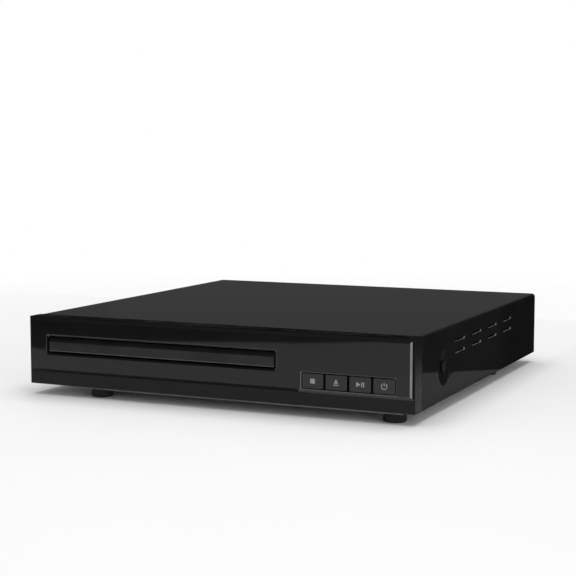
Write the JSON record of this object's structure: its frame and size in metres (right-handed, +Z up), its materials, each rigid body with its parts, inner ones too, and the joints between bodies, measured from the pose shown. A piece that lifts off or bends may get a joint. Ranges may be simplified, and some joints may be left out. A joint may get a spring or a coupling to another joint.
{
  "type": "dvd player",
  "caption": "Slim table-top disc player in glossy black with a front-loading motor driven tray, four front keys, vented steel cover and rear sockets.",
  "frame": {"origin": "centre of the footprint, rear sockets included, on the surface that the feet stand on", "axes": "+Z up, -Y out of the front where the tray comes out, +X to the right seen from the front"},
  "size_m": [0.225, 0.24, 0.0435],
  "materials": {
    "front_gloss": "high gloss black, moulded",
    "cover_black": "glossy black paint on steel sheet",
    "chassis_steel": "zinc plated steel sheet",
    "foot_rubber": "matt black rubber",
    "screw_black": "black oxide",
    "screw_zinc": "zinc plated",
    "key_satin": "satin dark grey",
    "tray_plastic": "satin black, moulded",
    "loader_plastic": "satin black, moulded",
    "gear_plastic": "natural acetal",
    "belt_rubber": "black rubber",
    "motor_steel": "nickel plated can",
    "rod_steel": "ground steel",
    "copper": "stator windings",
    "sled_metal": "die cast, dark",
    "lens_glass": "polished lens",
    "magnet": "sintered",
    "bridge_steel": "zinc plated steel sheet",
    "board": "green solder mask",
    "power_board_tan": "tan phenolic board",
    "chip": "moulded package",
    "jack_metal": "nickel plated",
    "jack_insert": "coloured plastic rings",
    "inlet_plastic": "black plastic",
    "cable": "flat white cable"
  },
  "bodies": {
    "case": {"front_panel": "front_gloss", "top_cover": "cover_black", "bottom_chassis": "chassis_steel", "chassis_standoffs": "screw_zinc", "rear_panel": "chassis_steel", "foot_front_left": "foot_rubber", "foot_front_right": "foot_rubber", "foot_rear_left": "foot_rubber", "foot_rear_right": "foot_rubber", "cover_screws": "screw_black", "loader_frame": "loader_plastic", "inner_screws": "screw_zinc", "loader_board": "board", "tray_switch": "chip", "loading_motor": "motor_steel", "loading_belt": "belt_rubber", "clamp_bridge": "bridge_steel", "button_carrier": "loader_plastic", "tact_switches": "chip", "front_pcb": "board", "ir_receiver": "chip", "main_board": "board", "main_chips": "chip", "digital_socket": "jack_metal", "av_jack_body": "inlet_plastic", "jack_shells": "jack_metal", "jack_inserts": "jack_insert", "power_board": "power_board_tan", "power_parts": "chip", "mains_inlet": "inlet_plastic", "inlet_pins": "jack_metal", "signal_cables": "cable"},
    "tray": {"disc_tray": "tray_plastic", "tray_door": "front_gloss"},
    "tray_gear": {"tray_gear": "gear_plastic"},
    "pulley_gear": {"pulley_gear": "gear_plastic"},
    "motor_pulley": {"motor_pulley": "gear_plastic"},
    "cam_slider": {"cam_slider": "gear_plastic"},
    "traverse": {"traverse_base": "loader_plastic", "guide_rods": "rod_steel", "spindle_motor": "copper", "sled_motor": "motor_steel"},
    "turntable": {"turntable": "loader_plastic", "turntable_pad": "belt_rubber"},
    "sled": {"pickup_sled": "sled_metal", "sled_rack": "gear_plastic"},
    "lens": {"lens_holder": "loader_plastic", "objective_lens": "lens_glass"},
    "sled_gear": {"sled_gear": "gear_plastic"},
    "sled_pinion": {"sled_pinion": "gear_plastic"},
    "clamper": {"clamper": "loader_plastic", "clamper_magnet": "magnet"},
    "key_stop": {"button_stop": "key_satin", "plunger_stop": "chip"},
    "key_eject": {"button_eject": "key_satin", "plunger_eject": "chip"},
    "key_play_pause": {"button_play_pause": "key_satin", "plunger_play_pause": "chip"},
    "key_power": {"button_power": "key_satin", "plunger_power": "chip"}
  },
  "joints": [
    {"name": "tray_slide", "type": "slide", "parent": "case", "child": "tray", "axis": [0, -1, 0], "range_m": [0, 0.144]},
    {"name": "tray_gear_spin", "type": "hinge", "parent": "case", "child": "tray_gear", "pos_m": [0.042, -0.09, 0.024], "axis": [0, 0, 1], "range_deg": [-5, 921.73]},
    {"name": "pulley_gear_spin", "type": "hinge", "parent": "case", "child": "pulley_gear", "pos_m": [0.021, -0.09, 0.018], "axis": [0, 0, 1], "range_deg": [-2296.83, 5]},
    {"name": "motor_pulley_spin", "type": "hinge", "parent": "case", "child": "motor_pulley", "pos_m": [-0.014, -0.09, 0.022], "axis": [0, 0, 1], "range_deg": [-9172.32, 5]},
    {"name": "cam_slide", "type": "slide", "parent": "case", "child": "cam_slider", "axis": [1, 0, 0], "range_m": [0, 0.014]},
    {"name": "traverse_lift", "type": "hinge", "parent": "case", "child": "traverse", "pos_m": [-0.031, 0.042, 0.0178], "axis": [1, 0, 0], "range_deg": [-0.01, 3.57]},
    {"name": "turntable_spin", "type": "hinge", "parent": "traverse", "child": "turntable", "pos_m": [-0.031, -0.04, 0.026], "axis": [0, 0, 1], "continuous": true},
    {"name": "clamper_spin", "type": "hinge", "parent": "case", "child": "clamper", "pos_m": [-0.031, -0.04, 0.034], "axis": [0, 0, 1], "continuous": true},
    {"name": "sled_slide", "type": "slide", "parent": "traverse", "child": "sled", "axis": [0, 1, 0], "range_m": [0, 0.036]},
    {"name": "sled_gear_spin", "type": "hinge", "parent": "traverse", "child": "sled_gear", "pos_m": [-0.069, 0.002, 0.018], "axis": [0, 0, 1], "range_deg": [-5, 348.77]},
    {"name": "sled_pinion_spin", "type": "hinge", "parent": "traverse", "child": "sled_pinion", "pos_m": [-0.076, -0.01327, 0.018], "axis": [0, 0, 1], "range_deg": [-864.44, 5]},
    {"name": "lens_focus", "type": "slide", "parent": "sled", "child": "lens", "axis": [0, 0, 1], "range_m": [-0.0005, 0.0005], "stiffness_N_per_m": 80},
    {"name": "stop_press", "type": "slide", "parent": "case", "child": "key_stop", "axis": [0, 1, 0], "range_m": [0, 0.0004], "stiffness_N_per_m": 1500, "springref_m": -0.0003},
    {"name": "eject_press", "type": "slide", "parent": "case", "child": "key_eject", "axis": [0, 1, 0], "range_m": [0, 0.0004], "stiffness_N_per_m": 1500, "springref_m": -0.0003},
    {"name": "play_pause_press", "type": "slide", "parent": "case", "child": "key_play_pause", "axis": [0, 1, 0], "range_m": [0, 0.0004], "stiffness_N_per_m": 1500, "springref_m": -0.0003},
    {"name": "power_press", "type": "slide", "parent": "case", "child": "key_power", "axis": [0, 1, 0], "range_m": [0, 0.0004], "stiffness_N_per_m": 1500, "springref_m": -0.0003}
  ],
  "couplings": [
    {"joint": "tray_gear_spin", "follows": "tray_slide", "rad_per_m": 111.11},
    {"joint": "pulley_gear_spin", "follows": "tray_slide", "rad_per_m": -277.78},
    {"joint": "motor_pulley_spin", "follows": "tray_slide", "rad_per_m": -1111.1},
    {"joint": "traverse_lift", "follows": "cam_slide", "rad_per_m": 4.4276},
    {"joint": "sled_gear_spin", "follows": "sled_slide", "rad_per_m": 166.67},
    {"joint": "sled_pinion_spin", "follows": "sled_slide", "rad_per_m": -416.67}
  ]
}
